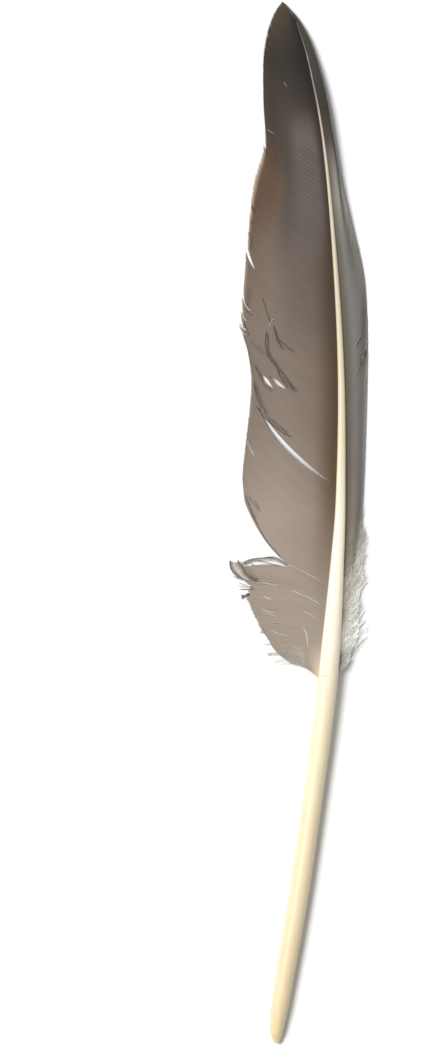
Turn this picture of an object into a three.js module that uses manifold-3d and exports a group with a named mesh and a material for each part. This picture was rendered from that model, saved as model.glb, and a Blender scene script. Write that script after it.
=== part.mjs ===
// A goose quill feather, lying on a table with the smooth back of its shaft up.
// Millimetres. +Z is up, +Y points to the tip, and the narrow leading vane is on the +X side.
// The origin is the middle of the outline, on the table.
import * as THREE from "three";
import { mergeVertices } from "three/addons/utils/BufferGeometryUtils.js";
import Module from "manifold-3d";

// ---------------------------------------------------------------- driving dimensions

// The shaft, from the bottom of the quill to the end of the rachis. A row is one station:
// y, x and z of its middle, width across the vanes, depth from back to belly.
const SHAFT = [
  [-166.2, -7.1, 1.3, 1.8, 1.8],
  [-164.8, -7.3, 1.6, 3.1, 2.9],
  [-162.0, -7.3, 2.2, 4.3, 4.3],
  [-153.0, -6.1, 2.8, 5.6, 5.6],
  [-121.0, -0.6, 3.15, 6.2, 6.1],
  [-89.0, 4.1, 3.5, 6.1, 6.1],
  [-57.0, 8.2, 4.2, 6.3, 6.1],
  [-37.8, 10.1, 4.7, 6.0, 5.8],
  [-12.2, 12.0, 5.3, 4.3, 4.6],
  [7.0, 13.0, 5.6, 3.2, 3.8],
  [45.4, 13.2, 5.8, 2.2, 2.8],
  [83.8, 11.2, 5.6, 1.5, 2.1],
  [122.2, 7.5, 4.4, 0.9, 1.4],
  [147.8, 2.7, 2.9, 0.6, 0.9],
  [160.6, -1.2, 1.9, 0.35, 0.5],
];
const VANE_START = -55.5; // y where the lowest barbs grow from the shaft
const QUILL_STATIONS = 16;
const QUILL_CROWDING = 1.5; // the quill's stations crowd together at its rounded end
const MORPH_LENGTH = 22; // over this last stretch the quill's edges gather at its two sides
const SIDE_ARC = 9; // into an arc of this many degrees on each side
const GROOVE_LENGTH = 25; // the belly groove is at its full depth this far above the vane's start
const GROOVE_DEPTH = 0.3; // as a share of half the shaft's depth
const NAVEL_DEPTH = 2.2; // the small pit in the bottom of the quill
const NAVEL_SHARE = 0.55; // its width, as a share of the quill's end

// The vanes, as lobes of zipped barbs with a parting between one lobe and the next.
// A row is one guide barb: y of its root on the shaft, x and y of its tip on the margin,
// the angles at which it leaves the shaft and arrives at the margin, in degrees from +Y
// towards its own side, and the height of its tip above the table.
const WIDE_VANE = {
  tip: [
    [160.0, -5.6, 166.4, 34, 36, 1.2],
    [154.2, -7.8, 163.5, 45, 38, 1.2],
    [141.4, -10.2, 157.4, 52, 25, 1.3],
    [128.6, -11.6, 148.8, 55, 12, 1.4],
    [114.2, -11.6, 135.0, 56, 4, 1.2],
    [100.5, -11.2, 121.3, 57, 10, 0.9],
  ],
  shoulder: [
    [99.2, -11.6, 119.4, 57, 20, 0.9],
    [85.4, -14.6, 109.4, 58, 22, 0.6],
    [74.2, -16.0, 98.2, 58, 10, 0.3],
    [61.4, -16.5, 88.5, 58, 12, 0.2],
  ],
  middle: [
    [60.2, -17.9, 84.6, 58, 20, 0.1],
    [48.6, -18.2, 74.6, 58, 8, 0],
    [37.4, -18.9, 63.0, 58, 16, 0],
    [24.6, -17.0, 56.0, 58, 12, 0],
    [12.6, -15.4, 48.0, 56, 8, 0.1],
  ],
  belly: [
    [10.6, -15.6, 40.5, 58, 16, 0.1],
    [-2.6, -17.2, 26.2, 60, 10, 0],
    [-12.2, -18.3, 15.4, 63, 4, 0],
    [-21.1, -17.8, 7.4, 66, 20, 0],
  ],
  ragged: [
    [-22.6, -22.4, -13.0, 62, 86, 0.4],
    [-26.6, -18.6, -18.2, 62, 84, 0.2],
    [-33.0, -16.6, -25.0, 62, 78, 0.2],
    [-40.3, -13.8, -32.6, 64, 78, 0.3],
    [-46.7, -9.2, -39.4, 66, 80, 0.4],
    [-50.4, -3.6, -44.9, 40, 84, 0.8],
    [-51.6, 2.4, -48.2, 40, 60, 1.4],
    [-55.5, 3.6, -52.0, 40, 50, 1.8],
  ],
};
const NARROW_VANE = {
  tip: [
    [160.0, -5.0, 166.1, -30, -38, 1.2],
    [152.6, -1.4, 162.2, -12, -36, 1.6],
    [143.0, 2.0, 156.8, -2, -22, 2.4],
    [131.8, 4.9, 149.4, 8, -16, 3.2],
    [119.0, 8.0, 138.2, 14, -12, 3.8],
    [103.0, 10.7, 123.2, 18, -4, 3.8],
    [87.0, 13.4, 107.8, 25, 6, 3.0],
    [71.0, 17.2, 92.8, 32, 12, 1.7],
    [55.0, 20.7, 78.0, 36, 8, 0.5],
    [40.6, 21.9, 60.0, 40, 16, 0],
  ],
  edge: [
    [39.2, 22.0, 55.2, 40, 22, 0],
    [23.0, 21.6, 39.0, 42, 12, 0],
    [3.8, 20.8, 19.2, 42, 10, 0],
    [-12.2, 19.8, 2.0, 44, 12, 0],
  ],
  down: [
    [-12.8, 19.6, 0.5, 44, 20, 0],
    [-22.0, 19.8, -12.0, 46, 20, 0],
    [-32.0, 20.0, -25.0, 48, 30, 0],
    [-41.0, 20.4, -35.0, 52, 50, 0.2],
    [-47.0, 17.6, -42.0, 56, 60, 0.6],
    [-52.0, 14.8, -47.0, 50, 60, 1.4],
  ],
};
const BARB_REACH = { root: 0.45, tip: 0.32 }; // handle lengths, as a share of root to tip
const CAMBER = 1.5; // how late along a barb the vane falls away from the shaft
const SPINE_SHARE = 0.1; // the barbs leave the shaft this share of its depth above its middle
const LOBE_GAP = 1.2; // the bare stretch of shaft between one lobe and the next
const RIDGE_PITCH = 3.2; // one raised line of barbs to the next, along the shaft
const VANE_SHARE = 0.6; // a vane is at most this share of the depth of the shaft it grows from
const VANE_THINNING = 0.35; // how much thinner a vane is at its margin
const [WIDE_COLUMNS, NARROW_COLUMNS] = [6, 4]; // steps along a barb
const WIDE_FORM = { thick: 0.7, ridge: 0.25, tooth: 0.5 };
const NARROW_FORM = { thick: 0.6, ridge: 0.18, tooth: 0.3 };
const DOWN_FORM = { thick: 0.9, ridge: 0.4, tooth: 2.2 };

// Partings where the barbs have come unzipped. A row of points is the middle of the opening,
// and width is how far it gapes at most; an open one reaches past the margin at its last point.
const PARTINGS = [
  {
    width: 1.3,
    isOpen: false,
    run: [[10.2, 12.4], [2.4, 17.6], [-5, 23], [-8.8, 28.2], [-12, 34.2]],
  },
  { width: 1.6, isOpen: true, run: [[-8.6, 118.0], [-10.2, 119.4], [-12.7, 121.9]] },
  { width: 1.1, isOpen: true, run: [[-13.2, 80.6], [-15.2, 82.8], [-19.5, 87.4]] },
];
const PARTING_STEPS = 8;
const CUT_DEPTH = 40;
// The bay between the vane and the ragged lobe at its foot, where barbs are missing.
const BAY = [
  [-4.3, -13.3],
  [-4.3, -14.1],
  [-10.0, -14.5],
  [-18.0, -14.2],
  [-30.0, -12.4],
  [-30.0, 10.0],
  [-18.4, 10.0],
  [-16.2, 3.8],
  [-13.7, -2.4],
  [-9.4, -8.6],
];

// ---------------------------------------------------------------- smooth tables

// A smooth curve through the rows of a table, read by the rows' first column.
function through(rows) {
  const slope = (i) => {
    const a = rows[Math.max(i - 1, 0)];
    const b = rows[Math.min(i + 1, rows.length - 1)];
    return a.map((value, k) => (b[k] - value) / (b[0] - a[0]));
  };
  const slopes = rows.map((_, i) => slope(i));
  const rising = rows[1][0] > rows[0][0];
  return (at) => {
    const past = rows.findIndex((row) => (rising ? row[0] > at : row[0] < at));
    const i = past < 0 ? rows.length - 2 : Math.max(past - 1, 0);
    const span = rows[i + 1][0] - rows[i][0];
    const t = Math.min(Math.max((at - rows[i][0]) / span, 0), 1);
    const [t2, t3] = [t * t, t * t * t];
    return rows[i].map(
      (value, k) =>
        (2 * t3 - 3 * t2 + 1) * value +
        (t3 - 2 * t2 + t) * span * slopes[i][k] +
        (3 * t2 - 2 * t3) * rows[i + 1][k] +
        (t3 - t2) * span * slopes[i + 1][k],
    );
  };
}

const shaftAt = through(SHAFT);

// ---------------------------------------------------------------- solids from rings

// Skins a row of rings, all with the same even number of points, and closes both ends.
// An end is zipped shut from the ring's first point to its middle one, so it may be a thin strip.
function loft(rings) {
  const sides = rings[0].length;
  const points = rings.flat();
  const faces = [];
  const quad = (a, b, c, d) => faces.push(a, b, c, a, c, d);
  for (let r = 0; r < rings.length - 1; r += 1) {
    for (let k = 0; k < sides; k += 1) {
      const next = (k + 1) % sides;
      quad(
        r * sides + k,
        r * sides + next,
        (r + 1) * sides + next,
        (r + 1) * sides + k,
      );
    }
  }
  const last = (rings.length - 1) * sides;
  for (let k = 0; k < sides / 2 - 1; k += 1) {
    quad(k, sides - 1 - k, sides - 2 - k, k + 1);
    quad(last + k, last + k + 1, last + sides - 2 - k, last + sides - 1 - k);
  }
  const geometry = new THREE.BufferGeometry().setFromPoints(points);
  geometry.setIndex(faces);
  return geometry;
}

const wasm = await Module();
wasm.setup();

// A closed geometry as a manifold-3d solid, whichever way round its rings were drawn.
function solidOf(geometry) {
  const merged = mergeVertices(geometry);
  const triVerts = new Uint32Array(merged.index.array);
  const vertProperties = new Float32Array(merged.attributes.position.array);
  const made = new wasm.Manifold(new wasm.Mesh({ numProp: 3, vertProperties, triVerts }));
  if (made.volume() > 0) return made;
  triVerts.reverse();
  return new wasm.Manifold(new wasm.Mesh({ numProp: 3, vertProperties, triVerts }));
}

function geometryOf(solid) {
  const { vertProperties, triVerts } = solid.getMesh();
  const geometry = new THREE.BufferGeometry();
  geometry.setAttribute("position", new THREE.BufferAttribute(vertProperties, 3));
  geometry.setIndex(new THREE.BufferAttribute(triVerts, 1));
  return geometry;
}

// ---------------------------------------------------------------- rings of the feather

const [WIDE_SIDE, NARROW_SIDE] = [-1, 1];
const BACK_TURNS = [128, 90, 52]; // degrees round the shaft, of its edges between the vanes
const BELLY_TURNS = [-52, -90, -128];

// The ring of a bare shaft at y. Its edges are spread evenly round the quill, and gather at
// its sides where they are about to open out into barbs.
function quillRing(y, share = 1, shift = 0) {
  const [, x, z, width, depth] = shaftAt(y);
  const [, aheadX, aheadZ] = shaftAt(y + 0.5);
  const [, behindX, behindZ] = shaftAt(y - 0.5);
  const run = new THREE.Vector3(aheadX - behindX, 1, aheadZ - behindZ).normalize();
  const across = new THREE.Vector3(run.y, -run.x, 0).normalize();
  const back = new THREE.Vector3().crossVectors(across, run);
  const gathered = THREE.MathUtils.smoothstep(y, VANE_START - MORPH_LENGTH, VANE_START);
  const over = turnsOver();
  const turns = [...over, ...over.toReversed().map((turn) => -turn)];
  return turns.map((turn, k) => {
    const even = 180 - (360 * (k + 0.5)) / turns.length;
    const angle = THREE.MathUtils.degToRad(THREE.MathUtils.lerp(even, turn, gathered));
    return new THREE.Vector3(x, y, z)
      .addScaledVector(across, (share * Math.cos(angle) * width) / 2)
      .addScaledVector(back, (share * Math.sin(angle) * depth) / 2)
      .addScaledVector(run, shift);
  });
}

// The gathered edges of the upper half of the quill, from the wide vane's side to the narrow one's.
function turnsOver() {
  const fan = (count) => {
    const step = SIDE_ARC / (count + 1);
    return Array.from({ length: count + 1 }, (_, j) => SIDE_ARC - j * step);
  };
  const wide = fan(WIDE_COLUMNS).reverse().map((turn) => 180 - turn);
  return [...wide, ...BACK_TURNS, ...fan(NARROW_COLUMNS)];
}

// One barb as a pair of rows of points, the upper and the lower face of its strip of vane.
function barb(guide, side, form, columns, isRaised) {
  const [rootY, tipX, tipY, leave, arrive, tipZ] = guide;
  const [, x, z, width, depth] = shaftAt(rootY);
  const thick = Math.min(form.thick, VANE_SHARE * depth);
  const heading = (degrees) => {
    const turn = THREE.MathUtils.degToRad(degrees);
    return new THREE.Vector2(side * Math.sin(turn), Math.cos(turn));
  };
  const root = new THREE.Vector2(x + (side * width) / 2, rootY);
  const tip = new THREE.Vector2(tipX, tipY);
  const reach = root.distanceTo(tip);
  const line = new THREE.CubicBezierCurve(
    root,
    root.clone().addScaledVector(heading(leave), BARB_REACH.root * reach),
    tip.clone().addScaledVector(heading(arrive), -BARB_REACH.tip * reach),
    tip,
  );
  const rootZ = z + SPINE_SHARE * depth - thick / 2;
  const end = isRaised ? 1 : 1 - form.tooth / reach;
  const under = Array.from({ length: columns + 1 }, (_, j) => {
    const t = (end * j) / columns;
    const { x: px, y: py } = line.getPoint(t);
    const ridge = isRaised && j > 0 ? form.ridge : 0;
    return new THREE.Vector3(px, py, rootZ + (tipZ - rootZ) * Math.pow(t, CAMBER) + ridge);
  });
  const up = (j) => thick * (1 - (VANE_THINNING * j) / columns);
  const over = under.map((p, j) => new THREE.Vector3(p.x, p.y, p.z + up(j)));
  return { over, under };
}

// The ring of the feather at y: out along one barb, back over the shaft and out along the other.
function vaneRing(y, isRaised) {
  const [, x, z, width, depth] = shaftAt(y);
  const wide = lobeAt(WIDE_VANE, y);
  const narrow = lobeAt(NARROW_VANE, y);
  const left = barb(wide.guide, WIDE_SIDE, WIDE_FORM, WIDE_COLUMNS, isRaised);
  const form = narrow.name === "down" ? DOWN_FORM : NARROW_FORM;
  const right = barb(narrow.guide, NARROW_SIDE, form, NARROW_COLUMNS, isRaised);
  const opened = THREE.MathUtils.smoothstep(y, VANE_START, VANE_START + GROOVE_LENGTH);
  const edge = (degrees) => {
    const turn = THREE.MathUtils.degToRad(degrees);
    const press = degrees === -90 ? 1 - GROOVE_DEPTH * opened : 1;
    const [dx, dz] = [(Math.cos(turn) * width) / 2, (press * Math.sin(turn) * depth) / 2];
    return new THREE.Vector3(x + dx, y, z + dz);
  };
  return [
    ...left.over.reverse(),
    ...BACK_TURNS.map(edge),
    ...right.over,
    ...right.under.reverse(),
    ...BELLY_TURNS.map(edge),
    ...left.under,
  ];
}

// The lobe of a vane that a station of the shaft belongs to, and its guide barb there.
function lobeAt(vane, y) {
  const lobes = Object.entries(vane).map(([name, guides]) => ({ name, guides }));
  const found = lobes.find(({ guides }) => y >= guides.at(-1)[0] - 0.5 * LOBE_GAP) ?? lobes.at(-1);
  const [first, last] = [found.guides[0][0], found.guides.at(-1)[0]];
  return { name: found.name, guide: through(found.guides)(THREE.MathUtils.clamp(y, last, first)) };
}

// ---------------------------------------------------------------- the feather

// The whole feather in one skin, from the pit in the bottom of the quill to the tip.
function skin() {
  const [bottom, top] = [SHAFT[0][0], SHAFT.at(-1)[0]];
  const navel = [
    quillRing(bottom, 0.7 * NAVEL_SHARE, NAVEL_DEPTH),
    quillRing(bottom, NAVEL_SHARE),
  ];
  const quill = Array.from({ length: QUILL_STATIONS }, (_, i) => {
    const t = i / (QUILL_STATIONS - 1);
    return quillRing(bottom + (VANE_START - bottom) * Math.pow(t, QUILL_CROWDING));
  });
  const rows = 2 * Math.round((top - VANE_START) / RIDGE_PITCH);
  const vane = Array.from({ length: rows }, (_, i) => {
    const t = (i + 0.5) / rows;
    return vaneRing(VANE_START + (top - VANE_START) * t, i % 2 === 0);
  });
  return loft([...navel, ...quill, ...vane]);
}

// A prism right through the vane, from an outline in plan.
function prism(outline) {
  const shape = new THREE.Shape(outline.map(([x, y]) => new THREE.Vector2(x, y)));
  const geometry = new THREE.ExtrudeGeometry(shape, { depth: CUT_DEPTH, bevelEnabled: false });
  geometry.deleteAttribute("normal");
  geometry.deleteAttribute("uv");
  return geometry.translate(0, 0, -CUT_DEPTH / 2);
}

// The opening of a parting: a lens round its middle line, or a wedge if it is open at the end.
function parting({ width, isOpen, run }) {
  const line = new THREE.SplineCurve(run.map(([x, y]) => new THREE.Vector2(x, y)));
  const side = (sign) =>
    Array.from({ length: PARTING_STEPS + 1 }, (_, i) => {
      const t = i / PARTING_STEPS;
      const gape = (isOpen ? t : Math.sin(Math.PI * t)) * 0.5 * width;
      const { x, y } = line.getPoint(t);
      const along = line.getTangent(t);
      return [x - sign * gape * along.y, y + sign * gape * along.x];
    });
  const [one, other] = [side(1), side(-1).reverse()];
  return prism([...one, ...other.slice(isOpen ? 0 : 1, -1)]);
}

const openings = [prism(BAY), ...PARTINGS.map(parting)].map(solidOf);
const body = openings.reduce((left, opening) => left.subtract(opening), solidOf(skin()));
const keratin = new THREE.MeshStandardMaterial({
  color: new THREE.Color(0.46, 0.41, 0.36),
  roughness: 0.6,
  metalness: 0,
});
const feather = new THREE.Mesh(geometryOf(body), keratin);
feather.name = "feather";

const part = new THREE.Group();
part.add(feather);
export default part;
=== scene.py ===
# %% [markdown]
# # A goose quill feather
#
# A goose's flight feather is one growth of keratin, the stuff of horn and fingernails. A bare,
# hollow quill was held in the wing. It carries on as a solid shaft, squarer and thinner all the
# way to the tip. Hundreds of flat barbs grow from both sides of the shaft and hook into each
# other, and together they make the two vanes: a wide one behind and a narrow one in front.
# Low down, where the feather was covered, the barbs have no hooks and stay loose as down.
#
# The lesson builds it in that order: shaft, barbs, down, stray barbs, then the finishes. Barbs
# are a job for Geometry Nodes, because there are hundreds and each follows the one beside it.

# %% Tools, and the plain model that this one must fit
import math

import bpy
import numpy as np
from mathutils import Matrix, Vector


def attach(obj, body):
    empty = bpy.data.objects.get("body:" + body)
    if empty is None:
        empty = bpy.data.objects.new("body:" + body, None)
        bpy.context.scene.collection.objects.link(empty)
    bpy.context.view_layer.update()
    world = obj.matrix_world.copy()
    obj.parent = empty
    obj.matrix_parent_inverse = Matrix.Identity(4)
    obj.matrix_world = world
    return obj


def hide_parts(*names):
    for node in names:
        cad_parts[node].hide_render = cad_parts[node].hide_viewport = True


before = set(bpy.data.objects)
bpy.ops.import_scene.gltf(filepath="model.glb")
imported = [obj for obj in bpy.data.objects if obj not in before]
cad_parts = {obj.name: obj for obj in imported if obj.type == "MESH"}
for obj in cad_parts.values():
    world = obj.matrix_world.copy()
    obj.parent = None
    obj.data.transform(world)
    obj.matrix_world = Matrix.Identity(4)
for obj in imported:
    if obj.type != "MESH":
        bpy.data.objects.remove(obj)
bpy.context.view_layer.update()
MM = 0.001


# %% [markdown]
# ## One table for the shaft, one for each lobe of a vane
#
# A feather is easiest to describe by a few stations. For the shaft a station is a cross
# section. For a vane it is a guide barb: where it leaves the shaft, where its tip lies, and the
# two directions. Everything between two stations is a smooth blend, so the whole outline stays
# in a few hundred numbers, all in millimetres. +Y runs to the tip and the narrow vane is at +X.

# %% The shaft's stations: y, x, z, width across, depth
SHAFT = np.array([
    [-166.2, -7.1, 1.3, 1.8, 1.8],
    [-164.8, -7.3, 1.6, 3.1, 2.9],
    [-162.0, -7.3, 2.2, 4.3, 4.3],
    [-153.0, -6.1, 2.8, 5.6, 5.6],
    [-121.0, -0.6, 3.15, 6.2, 6.1],
    [-89.0, 4.1, 3.5, 6.1, 6.1],
    [-57.0, 8.2, 4.2, 6.3, 6.1],
    [-37.8, 10.1, 4.7, 6.0, 5.8],
    [-12.2, 12.0, 5.3, 4.3, 4.6],
    [7.0, 13.0, 5.6, 3.2, 3.8],
    [45.4, 13.2, 5.8, 2.2, 2.8],
    [83.8, 11.2, 5.6, 1.5, 2.1],
    [122.2, 7.5, 4.4, 0.9, 1.4],
    [147.8, 2.7, 2.9, 0.6, 0.9],
    [160.6, -1.2, 1.9, 0.35, 0.5],
])
VANE_START = -55.5
print(len(SHAFT), "stations from", SHAFT[0, 0], "to", SHAFT[-1, 0], "mm")

# %% Guide barbs: y of the root, x and y of the tip, angle at root, angle at tip, height of the tip
# Angles are in degrees from +Y towards the barb's own side.
BLADE = [
    [160.0, -5.6, 166.4, 34, 36, 1.2],
    [154.2, -7.8, 163.5, 45, 38, 1.2],
    [141.4, -10.2, 157.4, 52, 25, 1.3],
    [128.6, -11.6, 148.8, 55, 12, 1.4],
    [114.2, -11.6, 135.0, 56, 4, 1.2],
    [100.5, -11.2, 121.3, 57, 12, 0.9],
    [85.4, -14.6, 109.4, 58, 22, 0.6],
    [74.2, -16.0, 98.2, 58, 10, 0.3],
    [61.2, -16.9, 87.4, 58, 14, 0.2],
    [48.6, -18.0, 74.6, 58, 10, 0],
    [37.4, -18.8, 63.0, 58, 16, 0],
    [24.6, -16.9, 56.0, 58, 12, 0],
    [11.2, -15.5, 44.2, 57, 14, 0.1],
    [-2.6, -17.2, 26.2, 60, 10, 0],
    [-12.2, -18.3, 15.4, 63, 4, 0],
    [-21.1, -17.8, 7.4, 66, 20, 0],
]
RAGGED = [
    [-20.4, -18.4, -14.5, 60, 100, 0.7],
    [-22.0, -21.6, -15.2, 61, 96, 1.2],
    [-23.4, -21.8, -16.6, 61, 92, 1.2],
    [-24.6, -19.6, -18.0, 62, 92, 0.9],
    [-25.6, -17.2, -19.4, 62, 86, 0.5],
    [-26.6, -16.6, -20.6, 62, 80, 0.3],
    [-27.8, -17.5, -22.4, 62, 76, 0.2],
    [-29.4, -17.3, -24.4, 62, 73, 0.2],
    [-31.4, -16.2, -26.6, 62, 71, 0.2],
    [-34.4, -15.1, -29.4, 62, 70, 0.2],
    [-38.0, -12.9, -33.6, 62, 70, 0.2],
    [-42.0, -10.3, -37.8, 60, 70, 0.3],
    [-46.7, -7.5, -41.8, 54, 74, 0.4],
    [-50.4, -3.6, -44.9, 40, 84, 0.8],
]
LEADING = [
    [160.0, -5.0, 166.1, -30, -38, 1.2],
    [152.6, -1.4, 162.2, -12, -36, 1.6],
    [143.0, 2.0, 156.8, -2, -22, 2.4],
    [131.8, 4.9, 149.4, 8, -16, 3.2],
    [119.0, 8.0, 138.2, 14, -12, 3.8],
    [103.0, 10.7, 123.2, 18, -4, 3.8],
    [87.0, 13.4, 107.8, 25, 6, 3.0],
    [71.0, 17.2, 92.8, 32, 12, 1.7],
    [55.0, 20.7, 78.0, 36, 8, 0.5],
    [40.6, 21.9, 60.0, 40, 16, 0],
    [23.0, 21.6, 39.0, 42, 12, 0],
    [3.8, 20.9, 19.2, 42, 10, 0],
    [-12.2, 20.0, 1.0, 44, 14, 0],
    [-18.0, 19.4, -6.0, 46, 18, 0.2],
]
TUFT = [
    [-8.0, 19.9, 6.0, 30, 6, 0.2],
    [-16.0, 20.3, -1.0, 30, 6, 0.2],
    [-23.0, 20.7, -9.0, 32, 10, 0.2],
    [-30.0, 20.4, -17.0, 34, 18, 0.3],
    [-36.0, 19.6, -24.5, 38, 28, 0.4],
    [-40.5, 19.8, -30.4, 42, 40, 0.4],
    [-44.0, 19.4, -36.0, 46, 50, 0.6],
    [-46.5, 17.2, -40.8, 50, 52, 0.9],
    [-48.5, 15.8, -44.6, 44, 46, 1.4],
]
WISPS = [
    [-38.0, -12.4, -34.6, 62, 84, 0.2],
    [-42.0, -11.4, -38.4, 60, 90, 0.2],
    [-45.5, -9.6, -42.0, 56, 94, 0.3],
    [-48.0, -7.6, -44.8, 50, 98, 0.5],
    [-49.6, -4.8, -46.4, 44, 100, 0.7],
]
LOBES = {"blade": BLADE, "ragged": RAGGED, "leading": LEADING, "tuft": TUFT, "wisps": WISPS}
print("guide barbs:", {name: len(rows) for name, rows in LOBES.items()})

# %% Smooth blending between stations
def through(rows, at):
    """Rows of a table, blended smoothly at the places `at`, read by the first column."""
    rows = np.asarray(rows, dtype=float)
    rows = rows if rows[0, 0] < rows[-1, 0] else rows[::-1]
    key = rows[:, 0]
    slopes = np.empty_like(rows)
    slopes[1:-1] = (rows[2:] - rows[:-2]) / (key[2:] - key[:-2])[:, None]
    slopes[0] = (rows[1] - rows[0]) / (key[1] - key[0])
    slopes[-1] = (rows[-1] - rows[-2]) / (key[-1] - key[-2])
    at = np.clip(np.atleast_1d(np.asarray(at, dtype=float)), key[0], key[-1])
    i = np.clip(np.searchsorted(key, at, side="right") - 1, 0, len(key) - 2)
    span = (key[i + 1] - key[i])[:, None]
    t = ((at - key[i])[:, None]) / span
    t2, t3 = t * t, t * t * t
    return (
        (2 * t3 - 3 * t2 + 1) * rows[i]
        + (t3 - 2 * t2 + t) * span * slopes[i]
        + (3 * t2 - 2 * t3) * rows[i + 1]
        + (t3 - t2) * span * slopes[i + 1]
    )


def smoothstep(value, low, high):
    """0 below low, 1 above high, and an S-shaped rise between them."""
    t = np.clip((value - low) / (high - low), 0, 1)
    return t * t * (3 - 2 * t)


print("shaft at y = 0:", np.round(through(SHAFT, 0)[0], 2))

# %% [markdown]
# ## The quill and shaft
#
# The quill is a round tube with a blunt end and a small pit, where the blood once went in. Up
# the feather the tube turns into a square-shouldered rod, smooth on its back and grooved along
# its belly. A curve with a bevel can't change its section on the way, so this is a loft: one
# ring of points at each station, skinned to the next.

# %% Loft the shaft
SHAFT_SIDES = 40
SHAFT_RINGS = 320
LOOK_ALONG = 0.3  # how far ahead and behind the run of the shaft is read
GROOVE = {"depth": 0.34, "half_turn": 0.5, "opens_over": 25}
SQUARE = {"share": 0.3, "below": 15, "above": 60}
PIT_DEPTH = 2.2
PIT = [(0.18, 1.0), (0.34, 0.85), (0.48, 0.3), (0.6, 0.0), (0.85, -0.05)]  # width, depth


def shaft_rings():
    """Points of every ring of the shaft, in millimetres, with the pit's rings first."""
    bottom, top = SHAFT[0, 0], SHAFT[-1, 0]
    share = np.linspace(0, 1, SHAFT_RINGS)
    y = bottom + (top - bottom) * share**1.25
    stations = through(SHAFT, y)
    run = (through(SHAFT, y + LOOK_ALONG) - through(SHAFT, y - LOOK_ALONG))[:, [1, 0, 2]]
    run /= np.linalg.norm(run, axis=1)[:, None]
    across = np.stack([run[:, 1], -run[:, 0], np.zeros(len(y))], 1)
    across /= np.linalg.norm(across, axis=1)[:, None]
    back = np.cross(across, run)
    turn = np.linspace(0, 2 * np.pi, SHAFT_SIDES, endpoint=False)
    # The section is a circle in the quill and a rounded square in the shaft.
    squared = smoothstep(y, VANE_START - SQUARE["below"], VANE_START + SQUARE["above"])
    power = 1 - SQUARE["share"] * squared[:, None]
    cosine, sine = np.cos(turn)[None], np.sin(turn)[None]
    wide = np.sign(cosine) * np.abs(cosine) ** power
    deep = np.sign(sine) * np.abs(sine) ** power
    opened = smoothstep(y, VANE_START, VANE_START + GROOVE["opens_over"])[:, None]
    away = np.abs(np.angle(np.exp(1j * (turn + np.pi / 2))))[None]
    deep = deep * (1 - GROOVE["depth"] * opened * np.exp(-((away / GROOVE["half_turn"]) ** 2)))
    centre = stations[:, [1, 0, 2]]
    rings = (
        centre[:, None]
        + across[:, None] * (wide * stations[:, 3:4] / 2)[..., None]
        + back[:, None] * (deep * stations[:, 4:5] / 2)[..., None]
    )
    first = rings[0] - rings[0].mean(axis=0)
    pit = [
        rings[0].mean(axis=0) + first * size + run[0] * inset * PIT_DEPTH
        for size, inset in PIT
    ]
    return [*pit, *rings]


def new_mesh(name, points, edges=(), faces=()):
    """A mesh of points in millimetres."""
    mesh = bpy.data.meshes.new(name)
    mesh.from_pydata((np.asarray(points) * MM).tolist(), edges, faces)
    return mesh


def put_in_scene(name, data):
    """A new object at the origin that holds this mesh, lamp or camera."""
    made = bpy.data.objects.new(name, data)
    bpy.context.collection.objects.link(made)
    return made


def skin(name, rings):
    """A closed mesh through a list of rings of points."""
    sides = len(rings[0])
    faces = []
    for low in range(0, (len(rings) - 1) * sides, sides):
        for k in range(sides):
            after = (k + 1) % sides
            faces.append((low + k, low + after, low + sides + after, low + sides + k))
    last = (len(rings) - 1) * sides
    faces += [tuple(range(sides - 1, -1, -1)), tuple(range(last, last + sides))]
    mesh = new_mesh(name, np.concatenate(rings), faces=faces)
    mesh.validate()
    mesh.update()
    return mesh


def face_outwards(mesh):
    """Turns a closed mesh the right way out, by the sign of its volume."""
    mesh.calc_loop_triangles()
    corner = np.empty(len(mesh.vertices) * 3)
    mesh.vertices.foreach_get("co", corner)
    index = np.empty(len(mesh.loop_triangles) * 3, dtype=int)
    mesh.loop_triangles.foreach_get("vertices", index)
    a, b, c = np.moveaxis(corner.reshape(-1, 3)[index.reshape(-1, 3)], 1, 0)
    volume = np.einsum("ij,ij->", a, np.cross(b, c)) / 6
    if volume < 0:
        mesh.flip_normals()
    return abs(volume) / MM**3


shaft_mesh = skin("shaft", shaft_rings())
print("shaft volume, mm3:", round(face_outwards(shaft_mesh)))
shaft_mesh.polygons.foreach_set("use_smooth", [True] * len(shaft_mesh.polygons))
shaft = put_in_scene("shaft", shaft_mesh)
print("shaft faces:", len(shaft_mesh.polygons))

# %% [markdown]
# ## Writing node trees as sums
#
# Both the barbs and the finishes are node trees, and long chains of Math nodes are hard to read.
# So a `Wire` stands for one socket, and adding or multiplying wires adds the Math nodes. A
# `Bench` adds any other node: its type, its settings, and what goes into its sockets. The
# commonest nodes get a shorter way to ask for them.

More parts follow.
